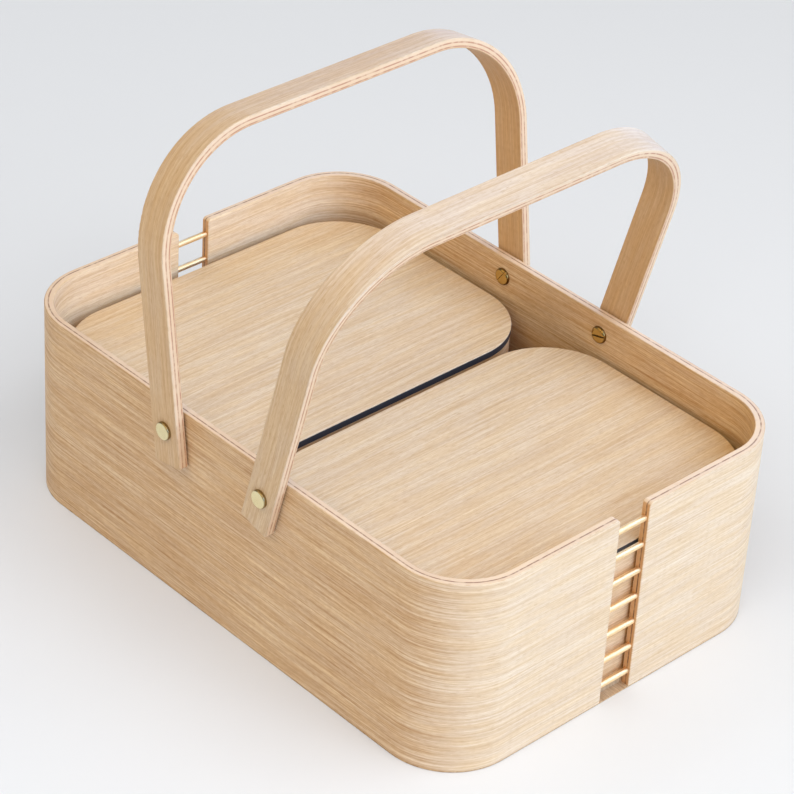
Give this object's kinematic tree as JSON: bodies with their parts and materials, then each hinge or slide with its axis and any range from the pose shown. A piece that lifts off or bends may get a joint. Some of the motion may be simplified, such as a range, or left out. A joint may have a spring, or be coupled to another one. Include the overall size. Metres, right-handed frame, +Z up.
{
  "type": "sewing box with trays",
  "caption": "Bentwood carrying box with two lidded lift-out trays side by side, two swinging bail handles and slotted ends tied with brass rungs.",
  "frame": {"origin": "middle of the footprint, on the surface the box stands on", "axes": "+X along the length, from the left tray to the right tray; +Y across the width, towards the rear wall; +Z up"},
  "size_m": [0.36, 0.268, 0.2728],
  "materials": {
    "wall_oak": "satin clear lacquer on two-ply light oak",
    "handle_oak": "satin clear lacquer on three-ply light oak",
    "lid_oak": "satin clear lacquer on light oak veneer",
    "tray_oak": "satin clear lacquer on light oak",
    "base_board": "satin clear lacquer",
    "black_board": "black stained board, satin",
    "brass": "satin and polished brass"
  },
  "bodies": {
    "basket": {"front_shell": "wall_oak", "rear_shell": "wall_oak", "base_panel": "base_board", "left_rung_1": "brass", "left_rung_2": "brass", "left_rung_3": "brass", "left_rung_4": "brass", "left_rung_5": "brass", "left_rung_6": "brass", "left_rung_7": "brass", "right_rung_1": "brass", "right_rung_2": "brass", "right_rung_3": "brass", "right_rung_4": "brass", "right_rung_5": "brass", "right_rung_6": "brass", "right_rung_7": "brass", "post_left_front": "brass", "screw_left_front": "brass", "washer_left_front": "brass", "post_left_rear": "brass", "screw_left_rear": "brass", "washer_left_rear": "brass", "post_right_front": "brass", "screw_right_front": "brass", "washer_right_front": "brass", "post_right_rear": "brass", "screw_right_rear": "brass", "washer_right_rear": "brass"},
    "left_handle": {"left_handle": "handle_oak"},
    "right_handle": {"right_handle": "handle_oak"},
    "left_tray": {"left_tray_wall": "tray_oak", "left_tray_bottom": "tray_oak"},
    "left_lid": {"left_lid_board": "black_board", "left_lid_veneer": "lid_oak", "left_lid_lip": "tray_oak"},
    "right_tray": {"right_tray_wall": "tray_oak", "right_tray_bottom": "tray_oak"},
    "right_lid": {"right_lid_board": "black_board", "right_lid_veneer": "lid_oak", "right_lid_lip": "tray_oak"}
  },
  "joints": [
    {"name": "left_handle_swing", "type": "hinge", "parent": "basket", "child": "left_handle", "pos_m": [-0.039, 0, 0.1095], "axis": [0, 1, 0], "range_deg": [-82, 17.5]},
    {"name": "right_handle_swing", "type": "hinge", "parent": "basket", "child": "right_handle", "pos_m": [0.039, 0, 0.1095], "axis": [0, 1, 0], "range_deg": [-23.4, 76]},
    {"name": "left_tray_lift", "type": "slide", "parent": "basket", "child": "left_tray", "axis": [0, 0, 1], "range_m": [0, 0.119]},
    {"name": "right_tray_lift", "type": "slide", "parent": "basket", "child": "right_tray", "axis": [0, 0, 1], "range_m": [0, 0.119]},
    {"name": "left_lid_lift", "type": "slide", "parent": "left_tray", "child": "left_lid", "axis": [0, 0, 1], "range_m": [0, 0.025]},
    {"name": "right_lid_lift", "type": "slide", "parent": "right_tray", "child": "right_lid", "axis": [0, 0, 1], "range_m": [0, 0.025]}
  ]
}
